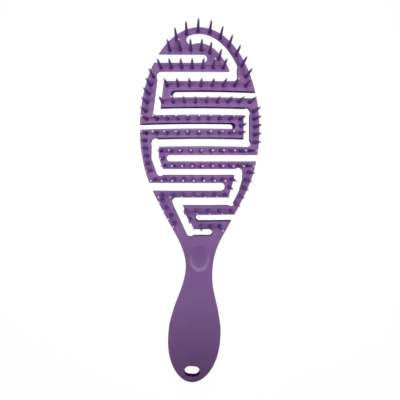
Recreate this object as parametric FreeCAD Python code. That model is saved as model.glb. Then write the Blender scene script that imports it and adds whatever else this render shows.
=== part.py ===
import FreeCAD, Part
import math
import os

from FreeCAD import Vector

# Detangling brush: one maze-cut frame with its handle, and soft pin strips seated in grooves along the ribs.
# The brush lies on its back: X across, Y from the handle to the tip, Z towards the pins. Sizes in mm.

# Head outline
head_half_width = 38.7
head_upper_length = 67.6
head_lower_length = 90.0
neck_half_width = 8.85

# Handle outline
handle_flare_length = 48.3
handle_half_width = 17.3
handle_end_length = 29.0
handle_lean_deg = 3.8
lean_start = 88.0

# Head dome
dome_upper_radius = 185.0
dome_lower_radius = 376.0
dome_side_radius = 185.0
apex_below_widest = 6.0
head_thickness = 5.5

# Handle body
dome_lower_reach = 66.0
blend_turn_deg = 0.5
handle_thickness = 9.9
handle_front_crown = 60.0
handle_back_crown = 90.0
sheet_margin = 6.0

# Rounding of the outer rim, front and back
rim_round = 1.5

# Maze slots
slot_width = 5.2
top_ring_width = 5.8
top_slot_width = 6.0
maze_bottom = 70.0

# Pin strips
strip_width = 2.6
strip_depth = 2.2
strip_clearance = 0.08
rail_inset = 3.4
ring_inset = 3.2

# Pins
pin_length = 15.0
pin_base_radius = 1.2
pin_tip_radius = 0.6
pin_end_radius = 0.3
pin_end_height = 0.35
pin_root_depth = 1.0
pin_sides = 10

# Thumb rest on the neck
thumb_half_width = 5.4
thumb_half_length = 7.2
thumb_depth = 1.0

# Hanging hole
hang_hole_width = 10.2
hang_hole_height = 7.0
hang_hole_from_end = 7.7

# Overrun of every cut past the faces that it leaves
overrun = 3.0

# Outline from the widest line to the neck: share of the way down, share of the width above the neck
taper_shares = [(0.223, 0.938), (0.374, 0.814), (0.527, 0.605), (0.702, 0.326), (0.879, 0.068)]
# The same from the neck to the widest place of the handle
flare_shares = [(0.308, 0.195), (0.448, 0.430), (0.587, 0.668), (0.727, 0.852)]

# Handle sections: share of the way from the dome to the end, share of the dome's rise over the handle that is
# left there, then front height, thickness and half width as shares
handle_section_shares = [
    (0.163, 0.477, 1.00, 0.76, 0.80),
    (0.326, 0.124, 1.00, 0.94, 0.80),
    (0.509, 0.000, 1.00, 1.00, 1.08),
    (0.703, 0.000, 1.00, 1.00, 1.20),
    (0.876, 0.000, 0.93, 0.91, 1.15),
    (1.060, 0.000, 0.71, 0.61, 1.05),
]

# Long slot that winds down between the two ribbons: across, down, width of the stretch to the next place and
# how far its walls lean to the tip as they rise
winding_shares = [
    (0.566, 0.193, 1.02, 0.00),
    (0.561, 0.247, 1.13, -0.12),
    (-0.646, 0.247, 0.85, 0.00),
    (-0.718, 0.409, 0.98, 0.12),
    (0.780, 0.409, 0.77, 0.00),
    (0.780, 0.554, 1.08, 0.15),
    (-0.739, 0.554, 0.92, 0.00),
    (-0.747, 0.629, 0.92, 0.00),
    (-0.659, 0.696, 0.77, -0.06),
    (0.646, 0.696, 1.08, 0.00),
    (0.643, 0.727, 1.08, 0.00),
    (0.532, 0.835, 1.08, -0.10),
    (-0.388, 0.835, 1.04, 0.00),
    (-0.152, 0.980, 0.83, -0.06),
    (0.162, 0.980, 0.83, 0.00),
]

# Cuts that open at the edge: side they open to, place of the inner end across, down, width, and how far the
# walls lean to the right and to the tip as they rise
cut_shares = [
    (-1, 0.063, 0.160, 1.00, 0.00, -0.15),
    (1, -0.432, 0.330, 0.87, -0.28, 0.10),
    (-1, 0.556, 0.479, 0.73, 0.34, 0.12),
    (1, -0.501, 0.631, 0.77, 0.00, -0.03),
    (-1, 0.354, 0.765, 1.00, 0.00, -0.03),
    (1, -0.017, 0.911, 0.83, -0.12, -0.12),
]

# Pin strips along the ribs: name, places of the ends and corners across and down, pins added on each stretch
rib_strip_shares = {
    "pin_strip_rib_01": ([(-0.501, 0.118), (0.026, 0.118), (0.171, 0.131), (0.320, 0.163)], [3, 1, 1]),
    "pin_strip_rib_02": ([(-0.650, 0.204), (0.398, 0.204)], [6]),
    "pin_strip_rib_03": ([(-0.545, 0.290), (0.765, 0.290)], [7]),
    "pin_strip_rib_04": ([(-0.620, 0.367), (0.832, 0.367)], [8]),
    "pin_strip_rib_05": ([(-0.884, 0.447), (0.667, 0.447), (0.680, 0.480)], [9, 1]),
    "pin_strip_rib_06": ([(-0.891, 0.513), (0.672, 0.513)], [9]),
    "pin_strip_rib_07": ([(-0.607, 0.631), (-0.641, 0.595), (0.840, 0.595)], [1, 9]),
    "pin_strip_rib_08": ([(-0.587, 0.664), (0.801, 0.664)], [9]),
    "pin_strip_rib_09": ([(-0.742, 0.728), (0.530, 0.728), (0.483, 0.765)], [8, 1]),
    "pin_strip_rib_10": ([(-0.633, 0.800), (0.421, 0.800)], [6]),
    "pin_strip_rib_11": ([(-0.163, 0.914), (-0.238, 0.875), (0.514, 0.875)], [1, 4]),
    "pin_strip_rib_12": ([(0.013, 0.948), (0.336, 0.948)], [2]),
}

# Pin strips along the outer rails: name, side, places of the ends down, number of pins
rail_strip_shares = {
    "pin_strip_left_rail_upper": (-1, 0.238, 0.408, 5),
    "pin_strip_left_rail_middle": (-1, 0.549, 0.694, 5),
    "pin_strip_left_rail_lower": (-1, 0.834, 0.944, 4),
    "pin_strip_right_rail_upper": (1, 0.408, 0.559, 5),
    "pin_strip_right_rail_lower": (1, 0.702, 0.852, 5),
}

# Pin strip along the top ring: ends across, left on the upper side and right, number of pins
ring_strip_end_shares = (-0.385, 0.780)
ring_pin_count = 9

# Circular arcs that a curved strip or slot is laid out with
ring_arc_count = 4
rail_arc_count = 1

# Ends of the slot under the top ring, across, and how far its walls lean to the tip as they rise
ring_slot_end_shares = (-0.142, 0.566)
ring_slot_lean_share = -0.17

# A face counts as upright where its direction rises by less than this
upright_share = 0.2


# Places worked out from the sizes above

apex_y = -apex_below_widest
tip_reach = head_upper_length + apex_below_widest
back_radius = dome_upper_radius - head_thickness
apex_height = dome_upper_radius - math.sqrt(back_radius ** 2 - tip_reach ** 2)
neck_y = -head_lower_length
handle_widest_y = neck_y - handle_flare_length
handle_end_y = handle_widest_y - handle_end_length
lean = math.radians(handle_lean_deg)
maze_span = head_upper_length + maze_bottom
top_level = apex_height + overrun
bottom_level = -overrun
tall = top_level - bottom_level


def leaned(x, y, z=0.0):
    """Point of the straight brush, turned about the start of the lean where it lies below that."""
    reach = y + lean_start
    if reach >= 0:
        return Vector(x, y, z)
    across = x * math.cos(lean) + reach * math.sin(lean)
    along = reach * math.cos(lean) - x * math.sin(lean) - lean_start
    return Vector(across, along, z)


def place(across_share, down_share):
    """Plan position from shares of the head's half width and of the maze's length."""
    return Vector(across_share * head_half_width, head_upper_length - down_share * maze_span, 0)


def outline_half_width_points():
    """Half widths of the side from the widest line of the head to the widest place of the handle."""
    gain = head_half_width - neck_half_width
    points = [(0.0, head_half_width)]
    points += [(-d * head_lower_length, neck_half_width + w * gain) for d, w in taper_shares]
    points.append((neck_y, neck_half_width))
    gain = handle_half_width - neck_half_width
    points += [(neck_y - d * handle_flare_length, neck_half_width + w * gain) for d, w in flare_shares]
    points.append((handle_widest_y, handle_half_width))
    return points


def side_curve(side):
    """Smooth side of the outline, on the right for side 1 and on the left for side -1."""
    points = [leaned(side * w, y) for y, w in outline_half_width_points()]
    curve = Part.BSplineCurve()
    start = Vector(0, -1, 0)
    finish = Vector(-math.sin(lean), -math.cos(lean), 0)
    curve.interpolate(Points=points, InitialTangent=start, FinalTangent=finish)
    return curve


def ellipse_at(centre, across, along, turn):
    """Ellipse in plan with its long axis along the brush, turned by an angle."""
    along_end = centre + Vector(math.sin(turn) * along, math.cos(turn) * along, 0)
    across_end = centre + Vector(-math.cos(turn) * across, math.sin(turn) * across, 0)
    return Part.Ellipse(along_end, across_end, centre)


def outline_wire():
    """Closed outline of the whole brush in plan."""
    quarter = math.pi / 2
    crown_ellipse = ellipse_at(Vector(0, 0, 0), head_half_width, head_upper_length, 0)
    crown = Part.ArcOfEllipse(crown_ellipse, -quarter, quarter)
    right = side_curve(1)
    left = side_curve(-1)
    centre = leaned(0, handle_widest_y)
    end_ellipse = ellipse_at(centre, handle_half_width, handle_end_length, lean)
    heel = Part.ArcOfEllipse(end_ellipse, quarter, 3 * quarter)
    edges = [crown.toShape(), right.toShape(), left.toShape(), heel.toShape()]
    return Part.Wire(Part.__sortEdges__(edges))


def prism(wire):
    """Upright solid over a closed plan wire, through the whole height."""
    face = Part.Face(wire)
    face.translate(Vector(0, 0, bottom_level))
    return face.extrude(Vector(0, 0, tall))


def capsule_wire(start, end, width):
    """Straight stretch with round ends."""
    along = (end - start).normalize()
    across = Vector(-along.y, along.x, 0) * (width / 2)
    nose = along * (width / 2)
    edges = [
        Part.LineSegment(start + across, end + across).toShape(),
        Part.Arc(end + across, end + nose, end - across).toShape(),
        Part.LineSegment(end - across, start - across).toShape(),
        Part.Arc(start - across, start - nose, start + across).toShape(),
    ]
    return Part.Wire(edges)


def dome_section(outer, inner, half_width):
    """Cross-section of the dome at its apex, between two depths below the front, as a closed wire."""
    centre_z = apex_height - dome_side_radius

    def level(depth, x):
        return centre_z + math.sqrt((dome_side_radius - depth) ** 2 - x ** 2)

    def corner(depth, x):
        return Vector(x, apex_y, level(depth, x))

    edges = [
        Part.Arc(corner(outer, -half_width), corner(outer, 0), corner(outer, half_width)).toShape(),
        Part.LineSegment(corner(outer, half_width), corner(inner, half_width)).toShape(),
        Part.Arc(corner(inner, half_width), corner(inner, 0), corner(inner, -half_width)).toShape(),
        Part.LineSegment(corner(inner, -half_width), corner(outer, -half_width)).toShape(),
    ]
    return Part.Wire(edges)


upper_axis = Vector(0, apex_y, apex_height - dome_upper_radius)
lower_axis = Vector(0, apex_y, apex_height - dome_lower_radius)
across_axis = Vector(1, 0, 0)
upper_turn_deg = math.degrees(math.asin((tip_reach + sheet_margin) / (dome_upper_radius - head_thickness)))
lower_turn_deg = math.degrees(math.asin(dome_lower_reach / dome_lower_radius))


def dome_layer(outer, inner):
    """Part of the dome between two depths below its front, wider than the outline."""
    section = Part.Face(dome_section(outer, inner, head_half_width + sheet_margin))
    upper = section.revolve(upper_axis, across_axis, -upper_turn_deg)
    lower = section.revolve(lower_axis, across_axis, lower_turn_deg)
    return upper.fuse(lower)


def dome_place(x, y):
    """Point of the dome's front over a plan position, and the outward direction there."""
    drop = dome_side_radius - math.sqrt(dome_side_radius ** 2 - x ** 2)
    along_radius = dome_upper_radius if y > apex_y else dome_lower_radius
    reach = along_radius - drop
    turn = math.asin((y - apex_y) / reach)
    point = Vector(x, y, apex_height - along_radius + reach * math.cos(turn))
    rise = (dome_side_radius - drop) / dome_side_radius
    out = Vector(x / dome_side_radius, rise * math.sin(turn), rise * math.cos(turn))
    return point, out


def handle_section(y, front, thickness, half_width):
    """Cross-section of the handle: crowned front and back with short sides."""
    front_drop = handle_front_crown - math.sqrt(handle_front_crown ** 2 - half_width ** 2)
    back_rise = handle_back_crown - math.sqrt(handle_back_crown ** 2 - half_width ** 2)
    left_front = leaned(-half_width, y, front - front_drop)
    right_front = leaned(half_width, y, front - front_drop)
    right_back = leaned(half_width, y, front - thickness + back_rise)
    left_back = leaned(-half_width, y, front - thickness + back_rise)
    edges = [
        Part.Arc(left_front, leaned(0, y, front), right_front).toShape(),
        Part.LineSegment(right_front, right_back).toShape(),
        Part.Arc(right_back, leaned(0, y, front - thickness), left_back).toShape(),
        Part.LineSegment(left_back, left_front).toShape(),
    ]
    return Part.Wire(edges)


def handle_front(section):
    """Place down the brush and front height of a handle section."""
    along, rise, front = section[:3]
    start_y = apex_y - dome_lower_reach
    dome_end, out = dome_place(0, start_y)
    y = start_y - along * (start_y - handle_end_y)
    return y, front * handle_thickness + rise * (dome_end.z - handle_thickness)


def handle_sheet():
    """Handle body wider than the outline, running smoothly out of the dome."""
    sections = []
    for turn in (lower_turn_deg, lower_turn_deg + blend_turn_deg):
        section = dome_section(0, head_thickness, neck_half_width + 2 * sheet_margin)
        section.rotate(lower_axis, across_axis, turn)
        sections.append(section)
    for section in handle_section_shares:
        y, front = handle_front(section)
        thickness, width = section[3:]
        sections.append(handle_section(y, front, thickness * handle_thickness, width * handle_half_width))
    return Part.makeLoft(sections, True, False)


def rim_edges(solid):
    """Edges along the front and the back of the outer wall."""
    edges = []
    for face in solid.Faces:
        u0, u1, v0, v1 = face.ParameterRange
        if abs(face.normalAt((u0 + u1) / 2, (v0 + v1) / 2).z) > upright_share:
            continue
        for edge in face.Edges:
            if abs(edge.tangentAt(edge.FirstParameter).z) < 1 - upright_share:
                edges.append(edge)
    return edges


def body_blank():
    """Frame before the maze is cut: the whole outline with its rim rounded front and back."""
    sheet = dome_layer(0, head_thickness).fuse(handle_sheet())
    solid = sheet.common(prism(outline_wire())).Solids[0]
    return solid.makeFillet(rim_round, rim_edges(solid))


def ring_arc(inset, left_across, right_across):
    """Arc under the tip, inset from the outline, between two places across."""
    half = head_half_width - inset
    ellipse = ellipse_at(Vector(0, 0, 0), half, head_upper_length - inset, 0)
    start = -math.asin(right_across * head_half_width / half)
    end = -math.asin(left_across * head_half_width / half)
    return Part.ArcOfEllipse(ellipse, start, end).toShape()


def arc_path(edge, arcs):
    """Path of a number of circular arcs laid along a plan curve."""
    points = edge.discretize(Number=2 * arcs + 1)
    triples = zip(points[::2], points[1::2], points[2::2])
    return Part.Wire([Part.Arc(*triple).toShape() for triple in triples])


def slot_prism(wire, lean_across, lean_along):
    """Solid through the head over a plan wire drawn at the front, leaning as it rises."""
    centre = wire.BoundBox.Center
    front, out = dome_place(centre.x, centre.y)
    lean_way = Vector(lean_across, lean_along, 1)
    face = Part.Face(wire)
    face.translate(Vector(0, 0, front.z) + lean_way * (bottom_level - front.z))
    return face.extrude(lean_way * tall)


def maze_cutters():
    """The long winding slot and the cuts that open at the edge."""
    inset = top_ring_width + top_slot_width / 2
    path = arc_path(ring_arc(inset, *ring_slot_end_shares), ring_arc_count)
    cutters = [slot_prism(path.makeOffset2D(top_slot_width / 2), 0, ring_slot_lean_share)]
    corners = [place(across, down) for across, down, width, along in winding_shares]
    for start, end, (across, down, width, along) in zip(corners, corners[1:], winding_shares):
        cutters.append(slot_prism(capsule_wire(start, end, width * slot_width), 0, along))
    for side, across, down, width, lean_across, lean_along in cut_shares:
        inner = place(across, down)
        outer = Vector(side * (head_half_width + overrun), inner.y, 0)
        wire = capsule_wire(inner, outer, width * slot_width)
        cutters.append(slot_prism(wire, lean_across, lean_along))
    return cutters


def thumb_cutter():
    """Barrel whose side dishes the front of the neck."""
    start_y = apex_y - dome_lower_reach
    dome_end, out = dome_place(0, start_y)
    y, front = handle_front(handle_section_shares[0])
    next_y, next_front = handle_front(handle_section_shares[1])
    slope = math.atan2(dome_end.z - next_front, start_y - next_y)
    crown_drop = thumb_half_width ** 2 / (2 * handle_front_crown)
    dish = thumb_depth - crown_drop
    across_radius = (thumb_half_width ** 2 + dish ** 2) / (2 * dish)
    along_radius = (thumb_half_length ** 2 + thumb_depth ** 2) / (2 * thumb_depth)
    turn = math.asin((thumb_half_length + overrun) / along_radius)
    end_lift = along_radius * (1 - math.cos(turn))
    reach = along_radius * math.sin(turn)
    centre = leaned(0, y, front)
    low = Vector(0, 0, -across_radius)
    ends = [Vector(0, side * reach, end_lift - across_radius) for side in (-1, 1)]
    edges = [
        Part.Arc(ends[0], low, ends[1]).toShape(),
        Part.LineSegment(ends[1], Vector(0, reach, 0)).toShape(),
        Part.LineSegment(Vector(0, reach, 0), Vector(0, -reach, 0)).toShape(),
        Part.LineSegment(Vector(0, -reach, 0), ends[0]).toShape(),
    ]
    barrel = Part.Face(Part.Wire(edges)).revolve(Vector(0, 0, 0), Vector(0, 1, 0), 360)
    barrel.rotate(Vector(0, 0, 0), across_axis, math.degrees(slope))
    barrel.rotate(Vector(0, 0, 0), Vector(0, 0, 1), -handle_lean_deg)
    barrel.translate(centre + Vector(0, 0, across_radius - thumb_depth))
    return barrel


def hang_hole_cutter():
    """Oval hole through the end of the handle, across it."""
    y = handle_end_y + hang_hole_from_end
    half = (hang_hole_width - hang_hole_height) / 2
    return prism(capsule_wire(leaned(-half, y), leaned(half, y), hang_hole_height))


def rail_spot(side, down_share):
    """Plan position of the strip in an outer rail, at a share of the way down the maze."""
    y = place(0, down_share).y
    if y >= 0:
        x = head_half_width * math.sqrt(1 - (y / head_upper_length) ** 2)
        out = Vector(side * x / head_half_width ** 2, y / head_upper_length ** 2, 0).normalize()
        return Vector(side * x, y, 0) - out * rail_inset
    curve = side_curve(side)
    level = Part.LineSegment(Vector(0, y, 0), Vector(side * (head_half_width + overrun), y, 0))
    hit = curve.intersectCC(level)[0]
    spot = Vector(hit.X, hit.Y, 0)
    along = curve.tangent(curve.parameter(spot))[0]
    out = Vector(-along.y, along.x, 0) * side
    return spot - out.normalize() * rail_inset


def strip_layouts():
    """Plan path and pin places of every strip, by node name."""
    layouts = {}
    for name, (spots, steps) in rib_strip_shares.items():
        corners = [place(*spot) for spot in spots]
        pins = [corners[0]]
        for start, end, count in zip(corners, corners[1:], steps):
            pins += [start + (end - start) * (k / count) for k in range(1, count + 1)]
        layouts[name] = (Part.makePolygon(corners), pins)
    for name, (side, top_share, bottom_share, count) in rail_strip_shares.items():
        step = (bottom_share - top_share) / (count - 1)
        pins = [rail_spot(side, top_share + k * step) for k in range(count)]
        curve = Part.BSplineCurve()
        curve.interpolate(Points=pins)
        layouts[name] = (arc_path(curve.toShape(), rail_arc_count), pins)
    arc = ring_arc(ring_inset, *ring_strip_end_shares)
    layouts["pin_strip_top_ring"] = (arc_path(arc, ring_arc_count), arc.discretize(Number=ring_pin_count))
    return layouts


def strip_outline(path, width):
    """Closed outline of a strip, or of its groove, about its path."""
    ends = [path.OrderedVertexes[0].Point, path.OrderedVertexes[-1].Point]
    if len(path.Edges) == 1 and path.Edges[0].Curve.TypeId == "Part::GeomLine":
        return capsule_wire(ends[0], ends[1], width)
    return path.makeOffset2D(width / 2)


def pin_ring(centre, out, radius):
    """Corners of a pin's cross-section."""
    side = out.cross(Vector(0, 1, 0)).normalize() * radius
    other = out.cross(side)
    turns = [2 * math.pi * k / pin_sides for k in range(pin_sides)]
    return [centre + side * math.cos(turn) + other * math.sin(turn) for turn in turns]


def pin(spot):
    """Tapered pin rooted in a strip, square to the dome, with narrow flats all round and a blunted end."""
    point, out = dome_place(spot.x, spot.y)
    rings = [
        pin_ring(point - out * pin_root_depth, out, pin_base_radius),
        pin_ring(point + out * (pin_length - pin_end_height), out, pin_tip_radius),
        pin_ring(point + out * pin_length, out, pin_end_radius),
    ]
    loops = [rings[0], rings[-1]]
    for low, high in zip(rings, rings[1:]):
        loops += [[low[k - 1], low[k], high[k], high[k - 1]] for k in range(pin_sides)]
    faces = [Part.Face(Part.makePolygon(loop + loop[:1])) for loop in loops]
    return Part.makeSolid(Part.makeShell(faces))


def strip_solid(path, pins):
    """Soft strip, flush with the front of the frame, with its pins."""
    bed = prism(strip_outline(path, strip_width)).common(dome_layer(0, strip_depth))
    return bed.fuse([pin(spot) for spot in pins])


def groove_cutter(path):
    """Blind groove that a strip sits in."""
    mouth = strip_outline(path, strip_width + 2 * strip_clearance)
    return prism(mouth).common(dome_layer(-overrun, strip_depth + strip_clearance))


def frame_solid(layouts):
    """Maze head and handle in one moulding."""
    solid = body_blank().cut(maze_cutters())
    solid = solid.cut([thumb_cutter(), hang_hole_cutter()])
    return solid.cut([groove_cutter(path) for path, pins in layouts.values()])


def build_nodes():
    """Every node by name, with the origin under the middle of the brush."""
    layouts = strip_layouts()
    nodes = {"frame": frame_solid(layouts)}
    for name, (path, pins) in layouts.items():
        nodes[name] = strip_solid(path, pins)
    box = FreeCAD.BoundBox()
    for shape in nodes.values():
        box.add(shape.optimalBoundingBox())
    for shape in nodes.values():
        shape.translate(Vector(-box.Center.x, -box.Center.y, -box.ZMin))
    return nodes


if __name__ == "__main__":
    os.makedirs("parts", exist_ok=True)
    for name, shape in build_nodes().items():
        shape.exportStep(os.path.join("parts", name + ".step"))
        print(name, shape.isValid(), len(shape.Solids), round(shape.Volume))
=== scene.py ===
"""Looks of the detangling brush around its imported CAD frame, in metres, in the CAD's own frame."""

import math

import bpy
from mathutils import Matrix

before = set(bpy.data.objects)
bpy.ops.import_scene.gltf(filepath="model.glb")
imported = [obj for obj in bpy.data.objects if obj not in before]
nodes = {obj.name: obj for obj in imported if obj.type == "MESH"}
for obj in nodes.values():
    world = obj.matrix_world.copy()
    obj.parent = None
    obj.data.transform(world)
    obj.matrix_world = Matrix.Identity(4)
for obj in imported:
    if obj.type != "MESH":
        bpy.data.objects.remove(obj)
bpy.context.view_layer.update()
scene = bpy.context.scene

# Photograph: the camera looks down on the brush, tip of the head up, from a little to the left of the head, and is
# partly turned and partly shifted to frame it. The sensor is in millimetres.
PHOTO_CENTRE = (0.0, 0.0024)
CAMERA_OFFSET = (-0.016, 0.016)
CAMERA_HEIGHT = 0.5058
PHOTO_WIDTH_AT_FRONT = 0.256
FRONT_TO_CAMERA = 0.4845
SENSOR = 36.0
SHIFT_SHARE = 0.5

# Domed front of the head: apex, radii along its upper and lower part and across
APEX_Y = 0.04233
APEX_Z = 0.02131
UPPER_RADIUS = 0.185
LOWER_RADIUS = 0.376
SIDE_RADIUS = 0.185

# Thumb rest on the neck: middle, half width and half length of its oval, and a height between its back and front
THUMB_CENTRE = (0.0, -0.0359)
THUMB_HALVES = (0.0063, 0.0084)
THUMB_BACK_Z = 0.009

# Painted highlight along the edge of the thumb rest: its ring as a share of the oval, how fast it fades beside the
# ring, how softly that ends, and its strength level with the middle of the oval with what the end towards the handle
# adds
PAINTED_HIGHLIGHT_RING = 0.93
PAINTED_HIGHLIGHT_FADE = 4.5
PAINTED_HIGHLIGHT_SOFTNESS = 0.1
PAINTED_HIGHLIGHT_AT_MIDDLE = 0.4
PAINTED_HIGHLIGHT_TO_HANDLE = 0.6

# Facets are shaded smooth below these angles. The lesser one holds at the thumb rest, up to the first of two shares
# of its oval, and blends into the frame's own at the second.
FRAME_SMOOTH_DEG = 32.0
THUMB_SMOOTH_DEG = 10.0
THUMB_SMOOTH_SHARES = (1.05, 1.10)
PIN_SMOOTH_DEG = 62.0
WELD_DISTANCE = 1e-6

# Colours in 8-bit display values. Those of the strips and pins follow the height over the dome, as shares of a height.
FRAME_COLOUR = (127, 92, 144)
# Paler colour painted along the edge of the thumb rest, a painted highlight
FRAME_PAINTED_HIGHLIGHT_COLOUR = (156, 125, 172)
PIN_COLOUR_HEIGHT = 0.016
# The darkest stop, near the roots of the pins, is painted shade, and the pale last stop at their ends is a painted
# highlight
PIN_COLOURS = [
    (0.000, (124, 87, 145)),
    (0.010, (118, 80, 142)),
    (0.035, (97, 57, 129)),
    (0.550, (108, 72, 138)),
    (0.880, (118, 94, 134)),
    (0.900, (206, 183, 214)),
]
WHITE = (1.0, 1.0, 1.0, 1.0)

# Moulded plastic: reflection; clouds of shade and gloss by the noise's value; nooks by how open they are, which
# darkens them with painted shade and takes their shine; pits of the grain
PLASTIC_IOR = 1.49
DULL_IOR = 1.0
PLASTIC_SPECULAR = 0.13
CLOUD_SCALE = 55.0
CLOUD_SHADE = (0.86, 0.85, 0.87, 1.0)
CLOUD_SHADE_RANGE = (0.30, 0.72)
CLOUD_GLOSS_RANGE = (0.25, 0.75)
GLOSS_BELOW = 0.05
GLOSS_ABOVE = 0.06
NOOK_REACH = 0.010
NOOK_SAMPLES = 8
NOOK_PAINTED_SHADE_RANGE = (0.40, 0.92)
NOOK_SHINE_RANGE = (0.60, 0.95)
PIT_SCALE = 2600.0
PIT_DEPTH = 0.0002
EDGE_SAMPLES = 6

# White table: how much light it gives back to the object, its tone where it is seen, and the glow that makes it white
FLOOR_SIZE = 6.0
FLOOR_BOUNCE = 0.12
FLOOR_TONE = 0.80
FLOOR_GLOW = 1.09
FLOOR_GLOW_SHARE = 0.88

# Light of the studio's sky, level and overhead
SKY_STRENGTHS = (0.03, 0.24)

# Soft lamps around the head, one of them straight above, fade along the handle: place, target, watts, cone in degrees
# and blend. Weak boxes on both sides light the handle's flanks.
LAMPS = [
    ((-0.02, 0.04, 0.95), (0.0, 0.04, 0.02), 22.5, 16.0, 1.0),
    ((-0.05, 0.75, 0.45), (0.0, 0.06, 0.015), 17.0, 16.0, 0.9),
    ((-0.45, 0.05, 0.75), (0.0, 0.035, 0.015), 7.6, 20.0, 0.7),
    ((0.45, 0.05, 0.75), (0.0, 0.035, 0.015), 7.6, 20.0, 0.7),
]
LAMP_RADIUS = 0.085
FILL_X, FILL_Y, FILL_Z = 0.40, -0.06, 0.05
FILL_TARGET_Z = 0.008
FILL_WATTS = 0.45
FILL_SIZE = 0.09


def srgb(colour):
    """Linear colour of 8-bit display values."""
    def channel(value):
        value /= 255
        return value / 12.92 if value <= 0.04045 else ((value + 0.055) / 1.055) ** 2.4

    return *(channel(value) for value in colour), 1.0


class Nodes:
    """Small helper that adds and links the shader nodes of a material or a world."""

    def __init__(self, owner, output):
        owner.use_nodes = True
        self.tree = owner.node_tree
        self.tree.nodes.clear()
        self.output = self.add(output)

    def add(self, kind, **inputs):
        """New node, with values for its inputs by their names."""
        node = self.tree.nodes.new("ShaderNode" + kind)
        for name, value in inputs.items():
            node.inputs[name.replace("_", " ")].default_value = value
        return node

    def link(self, source, target):
        self.tree.links.new(source, target)

    def math(self, operation, *values):
        """Result of one sum, whose values are sockets or numbers."""
        node = self.add("Math")
        node.operation = operation
        for socket, value in zip(node.inputs, values):
            if isinstance(value, (int, float)):
                socket.default_value = value
            else:
                self.link(value, socket)
        return node.outputs["Value"]

    def axes(self, place):
        """The three coordinates of a place."""
        node = self.add("SeparateXYZ")
        self.link(place, node.inputs["Vector"])
        return node.outputs["X"], node.outputs["Y"], node.outputs["Z"]

    def map_range(self, source, old, new):
        """A value taken from one range to another and held at its ends."""
        node = self.add("MapRange", From_Min=old[0], From_Max=old[1], To_Min=new[0], To_Max=new[1])
        self.link(source, node.inputs["Value"])
        return node.outputs["Result"]

    def ramp(self, source, stops):
        """Colours by a value, as places and colours."""
        node = self.add("ValToRGB")
        elements = node.color_ramp.elements
        while len(elements) < len(stops):
            elements.new(1.0)
        for element, (place, colour) in zip(elements, stops):
            element.position = place
            element.color = colour
        self.link(source, node.inputs["Fac"])
        return node.outputs["Color"]

    def multiply(self, first, second):
        """Product of two colours."""
        node = self.add("MixRGB", Fac=1.0)
        node.blend_type = "MULTIPLY"
        self.link(first, node.inputs["Color1"])
        self.link(second, node.inputs["Color2"])
        return node.outputs["Color"]

    def seen(self):
        """1 for rays of the camera, of reflections and through glass, and 0 for the light on the object."""
        path = self.add("LightPath")
        share = path.outputs["Is Camera Ray"]
        for ray in ("Is Glossy Ray", "Is Transmission Ray"):
            share = self.math("MAXIMUM", share, path.outputs[ray])
        return share

    def finish(self, shader):
        self.link(shader, self.output.inputs["Surface"])

    def finish_mixed(self, share, first, second):
        """Output that goes from the first shader to the second."""
        node = self.add("MixShader")
        self.link(share, node.inputs["Fac"])
        self.link(first, node.inputs[1])
        self.link(second, node.inputs[2])
        self.finish(node.outputs["Shader"])


def hypotenuse(n, a, b):
    return n.math("SQRT", n.math("ADD", n.math("MULTIPLY", a, a), n.math("MULTIPLY", b, b)))


def height_over_dome(n, place):
    """Height of a point over the domed front of the head, square to it."""
    across, along, up = n.axes(place)
    reach = n.math("SUBTRACT", along, APEX_Y)
    heights = []
    for radius in (UPPER_RADIUS, LOWER_RADIUS):
        from_axis = hypotenuse(n, reach, n.math("SUBTRACT", up, APEX_Z - radius))
        from_ring = n.math("SUBTRACT", from_axis, radius - SIDE_RADIUS)
        heights.append(n.math("SUBTRACT", hypotenuse(n, from_ring, across), SIDE_RADIUS))
    upper_half = n.math("GREATER_THAN", reach, 0.0)
    gap = n.math("SUBTRACT", heights[0], heights[1])
    return n.math("ADD", heights[1], n.math("MULTIPLY", gap, upper_half))


def thumb_painted_highlight(n, place):
    """Strength of the painted highlight along the edge of the thumb rest, most at its end towards the handle."""
    x, y, z = n.axes(place)
    across = n.math("DIVIDE", n.math("SUBTRACT", x, THUMB_CENTRE[0]), THUMB_HALVES[0])
    along = n.math("DIVIDE", n.math("SUBTRACT", THUMB_CENTRE[1], y), THUMB_HALVES[1])
    off_ring = n.math("ABSOLUTE", n.math("SUBTRACT", hypotenuse(n, across, along), PAINTED_HIGHLIGHT_RING))
    faded = n.math("SUBTRACT", 1.0, n.math("MULTIPLY", off_ring, PAINTED_HIGHLIGHT_FADE))
    near_ring = n.math("SMOOTH_MAX", faded, 0.0, PAINTED_HIGHLIGHT_SOFTNESS)
    strength = n.math("MAXIMUM", n.math("MULTIPLY_ADD", along, PAINTED_HIGHLIGHT_TO_HANDLE, PAINTED_HIGHLIGHT_AT_MIDDLE), 0.0)
    front = n.math("GREATER_THAN", z, THUMB_BACK_Z)
    return n.math("MULTIPLY", front, n.math("MULTIPLY", near_ring, strength))


def stops_to_white(places, low_colour):
    """Stops of a ramp from a colour to white."""
    return list(zip(places, (low_colour, WHITE)))


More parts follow.
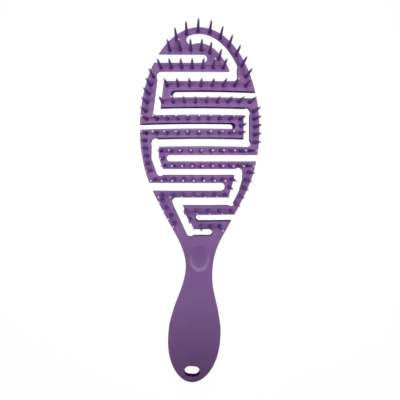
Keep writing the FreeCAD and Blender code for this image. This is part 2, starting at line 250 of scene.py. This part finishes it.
def finish_plastic(n, place, colour, roughness, grain, nook, edge=None):
    """Satin moulded surface: cloudy shade and gloss, nooks darkened with painted shade and dulled, fine spark-eroded
    grain, soft edges.
    """
    shader = n.add("BsdfPrincipled", Specular_IOR_Level=PLASTIC_SPECULAR)

    clouds = n.add("TexNoise", Scale=CLOUD_SCALE, Detail=4.0, Roughness=0.55)
    n.link(place, clouds.inputs["Vector"])
    shade = n.ramp(clouds.outputs["Fac"], stops_to_white(CLOUD_SHADE_RANGE, CLOUD_SHADE))
    gloss = n.map_range(clouds.outputs["Fac"], CLOUD_GLOSS_RANGE, (roughness - GLOSS_BELOW, roughness + GLOSS_ABOVE))
    n.link(gloss, shader.inputs["Roughness"])

    nooks = n.add("AmbientOcclusion", Distance=NOOK_REACH)
    nooks.samples = NOOK_SAMPLES
    nooks.only_local = True
    # Nooks, where little light reaches, get the nook colour as painted shade
    painted_shade = n.ramp(nooks.outputs["AO"], stops_to_white(NOOK_PAINTED_SHADE_RANGE, nook))
    shine = n.map_range(nooks.outputs["AO"], NOOK_SHINE_RANGE, (DULL_IOR, PLASTIC_IOR))
    n.link(shine, shader.inputs["IOR"])
    n.link(n.multiply(n.multiply(colour, shade), painted_shade), shader.inputs["Base Color"])

    pits = n.add("TexNoise", Scale=PIT_SCALE, Detail=2.0, Roughness=0.6)
    n.link(place, pits.inputs["Vector"])
    bump = n.add("Bump", Strength=grain, Distance=PIT_DEPTH)
    n.link(pits.outputs["Fac"], bump.inputs["Height"])
    if edge:
        soft = n.add("Bevel", Radius=edge)
        soft.samples = EDGE_SAMPLES
        n.link(soft.outputs["Normal"], bump.inputs["Normal"])
    n.link(bump.outputs["Normal"], shader.inputs["Normal"])
    n.finish(shader.outputs["BSDF"])


def frame_material():
    """Hard plastic of the maze head and the handle."""
    material = bpy.data.materials.new("frame_plastic")
    n = Nodes(material, "OutputMaterial")
    place = n.add("TexCoord").outputs["Object"]
    # Paler along the edge of the thumb rest, as a painted highlight
    colour = n.ramp(thumb_painted_highlight(n, place), [(0.0, srgb(FRAME_COLOUR)), (1.0, srgb(FRAME_PAINTED_HIGHLIGHT_COLOUR))])
    # The dark nook colour of the frame is painted shade
    finish_plastic(n, place, colour, roughness=0.50, grain=0.10, nook=(0.34, 0.24, 0.46, 1.0), edge=0.00025)
    return material


def pin_material():
    """Soft plastic of the strips: painted shade at the roots of the pins, greyer up the pins, blunt ends painted pale
    as a highlight.
    """
    material = bpy.data.materials.new("pin_plastic")
    n = Nodes(material, "OutputMaterial")
    place = n.add("TexCoord").outputs["Object"]
    height = n.math("MULTIPLY", height_over_dome(n, place), 1 / PIN_COLOUR_HEIGHT)
    colour = n.ramp(height, [(share, srgb(colour)) for share, colour in PIN_COLOURS])
    # The nook colour of the strips is painted shade
    finish_plastic(n, place, colour, roughness=0.36, grain=0.05, nook=(0.75, 0.70, 0.80, 1.0))
    return material


def floor_material():
    """White table: it is seen white with a faint shadow, and it bounces little light."""
    material = bpy.data.materials.new("floor_white")
    n = Nodes(material, "OutputMaterial")
    seen = n.seen()
    diffuse = n.add("BsdfDiffuse")
    n.link(n.map_range(seen, (0.0, 1.0), (FLOOR_BOUNCE, FLOOR_TONE)), diffuse.inputs["Color"])
    glow = n.add("Emission", Color=WHITE, Strength=FLOOR_GLOW)
    share = n.math("MULTIPLY", seen, FLOOR_GLOW_SHARE)
    n.finish_mixed(share, diffuse.outputs["BSDF"], glow.outputs["Emission"])
    return material


def studio_world():
    """Soft light from overhead that fades to the sides, and white where it is seen past the floor."""
    world = bpy.data.worlds.new("studio")
    n = Nodes(world, "OutputWorld")
    up = n.axes(n.add("TexCoord").outputs["Generated"])[2]
    light = n.add("Background", Color=WHITE)
    n.link(n.map_range(up, (0.0, 1.0), SKY_STRENGTHS), light.inputs["Strength"])
    white = n.add("Background", Color=WHITE, Strength=1.0)
    n.finish_mixed(n.seen(), light.outputs["Background"], white.outputs["Background"])
    return world


def thumb_smooth_angle(group, angle_deg):
    """Angle below which facets are smooth: a lesser one within the oval of the thumb rest, seen in plan."""
    source = group.nodes.new("GeometryNodeInputPosition").outputs["Position"]
    scale = (1 / THUMB_HALVES[0], 1 / THUMB_HALVES[1], 0.0)
    for operation, value in (("SUBTRACT", (*THUMB_CENTRE, 0.0)), ("MULTIPLY", scale)):
        step = group.nodes.new("ShaderNodeVectorMath")
        step.operation = operation
        step.inputs[1].default_value = value
        group.links.new(source, step.inputs[0])
        source = step.outputs["Vector"]
    reach = group.nodes.new("ShaderNodeVectorMath")
    reach.operation = "LENGTH"
    group.links.new(source, reach.inputs[0])
    limit = group.nodes.new("ShaderNodeMapRange")
    limit.inputs["From Min"].default_value, limit.inputs["From Max"].default_value = THUMB_SMOOTH_SHARES
    limit.inputs["To Min"].default_value = math.radians(THUMB_SMOOTH_DEG)
    limit.inputs["To Max"].default_value = math.radians(angle_deg)
    group.links.new(reach.outputs["Value"], limit.inputs["Value"])
    return limit.outputs["Result"]


def smooth_group(name, angle_deg, thumb_rest=False):
    """Geometry nodes that weld the facets and shade them smooth up to an angle, or a lesser one at the thumb rest."""
    group = bpy.data.node_groups.new(name, "GeometryNodeTree")
    for way in ("INPUT", "OUTPUT"):
        group.interface.new_socket("Geometry", in_out=way, socket_type="NodeSocketGeometry")
    start = group.nodes.new("NodeGroupInput")
    end = group.nodes.new("NodeGroupOutput")
    weld = group.nodes.new("GeometryNodeMergeByDistance")
    weld.inputs["Distance"].default_value = WELD_DISTANCE
    angle = group.nodes.new("GeometryNodeInputMeshEdgeAngle")
    below = group.nodes.new("FunctionNodeCompare")
    below.operation = "LESS_THAN"
    below.inputs["B"].default_value = math.radians(angle_deg)
    if thumb_rest:
        group.links.new(thumb_smooth_angle(group, angle_deg), below.inputs["B"])
    faces = group.nodes.new("GeometryNodeSetShadeSmooth")
    edges = group.nodes.new("GeometryNodeSetShadeSmooth")
    edges.domain = "EDGE"
    group.links.new(start.outputs[0], weld.inputs["Geometry"])
    group.links.new(weld.outputs["Geometry"], faces.inputs["Geometry"])
    group.links.new(faces.outputs["Geometry"], edges.inputs["Geometry"])
    group.links.new(angle.outputs["Unsigned Angle"], below.inputs["A"])
    group.links.new(below.outputs["Result"], edges.inputs["Shade Smooth"])
    group.links.new(edges.outputs["Geometry"], end.inputs[0])
    return group


def lamp(name, kind, location, target, watts):
    """Lamp that faces a point."""
    light = bpy.data.lights.new(name, kind)
    light.energy = watts
    holder = bpy.data.objects.new(name, light)
    holder.location = location
    scene.collection.objects.link(holder)
    direction = [t - p for t, p in zip(target, location)]
    length = math.sqrt(sum(d * d for d in direction))
    pitch = math.acos(-direction[2] / length)
    heading = math.atan2(direction[1], direction[0])
    holder.rotation_mode = "AXIS_ANGLE"
    holder.rotation_axis_angle = (pitch, math.sin(heading), -math.cos(heading), 0.0)
    return light


frame_plastic = frame_material()
pin_plastic = pin_material()
frame_smooth = smooth_group("frame_smooth", FRAME_SMOOTH_DEG, thumb_rest=True)
pin_smooth = smooth_group("pin_smooth", PIN_SMOOTH_DEG)

for name, node in nodes.items():
    hard = name == "frame"
    for slot in node.material_slots:
        slot.material = frame_plastic if hard else pin_plastic
    smooth = node.modifiers.new("smooth", "NODES")
    smooth.node_group = frame_smooth if hard else pin_smooth

bpy.ops.mesh.primitive_plane_add(size=FLOOR_SIZE, location=(0, 0, 0))
floor = bpy.context.object
floor.name = "floor"
floor.data.materials.append(floor_material())

scene.world = studio_world()

for place, target, watts, cone_deg, blend in LAMPS:
    spot = lamp("lamp", "SPOT", place, target, watts)
    spot.spot_size = math.radians(cone_deg)
    spot.spot_blend = blend
    spot.shadow_soft_size = LAMP_RADIUS
for side in (-1, 1):
    fill = lamp("fill", "AREA", (side * FILL_X, FILL_Y, FILL_Z), (0.0, FILL_Y, FILL_TARGET_Z), FILL_WATTS)
    fill.shape = "SQUARE"
    fill.size = FILL_SIZE

camera_data = bpy.data.cameras.new("camera")
camera_data.sensor_width = SENSOR
camera_data.lens = SENSOR * FRONT_TO_CAMERA / PHOTO_WIDTH_AT_FRONT
camera_data.shift_x = -SHIFT_SHARE * CAMERA_OFFSET[0] / PHOTO_WIDTH_AT_FRONT
camera_data.shift_y = -SHIFT_SHARE * CAMERA_OFFSET[1] / PHOTO_WIDTH_AT_FRONT
camera = bpy.data.objects.new("camera", camera_data)
camera.location = (PHOTO_CENTRE[0] + CAMERA_OFFSET[0], PHOTO_CENTRE[1] + CAMERA_OFFSET[1], CAMERA_HEIGHT)
turn = [(SHIFT_SHARE - 1) * offset / FRONT_TO_CAMERA for offset in CAMERA_OFFSET]
camera.rotation_euler = (math.atan(turn[1]), -math.atan(turn[0]), 0.0)
scene.collection.objects.link(camera)
scene.camera = camera

scene.view_settings.view_transform = "Standard"
